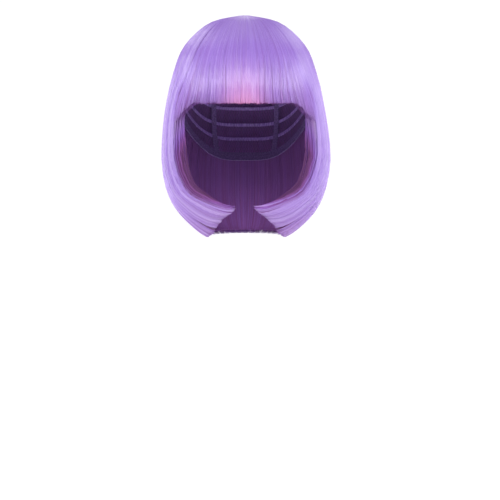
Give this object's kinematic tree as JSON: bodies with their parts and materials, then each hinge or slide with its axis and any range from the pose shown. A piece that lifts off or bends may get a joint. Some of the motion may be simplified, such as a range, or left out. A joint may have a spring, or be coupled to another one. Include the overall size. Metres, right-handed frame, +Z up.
{
  "type": "short wig with bangs",
  "caption": "Chin-length bob wig: a net cap with straight lavender hair, full bangs over the brow and ends that curl under.",
  "frame": {"origin": "inside of the cap's crown, where the wig sits on top of the head", "axes": "+Z up along the wearer's height, -Y the way the wearer looks, +X to the wearer's left"},
  "size_m": [0.1832, 0.2225, 0.2401],
  "materials": {
    "hair": "silky synthetic fibre",
    "cap_net": "elastic net"
  },
  "bodies": {
    "root": {"cap": "cap_net", "bangs": "hair", "side_left": "hair", "side_right": "hair", "back": "hair"}
  },
  "joints": []
}
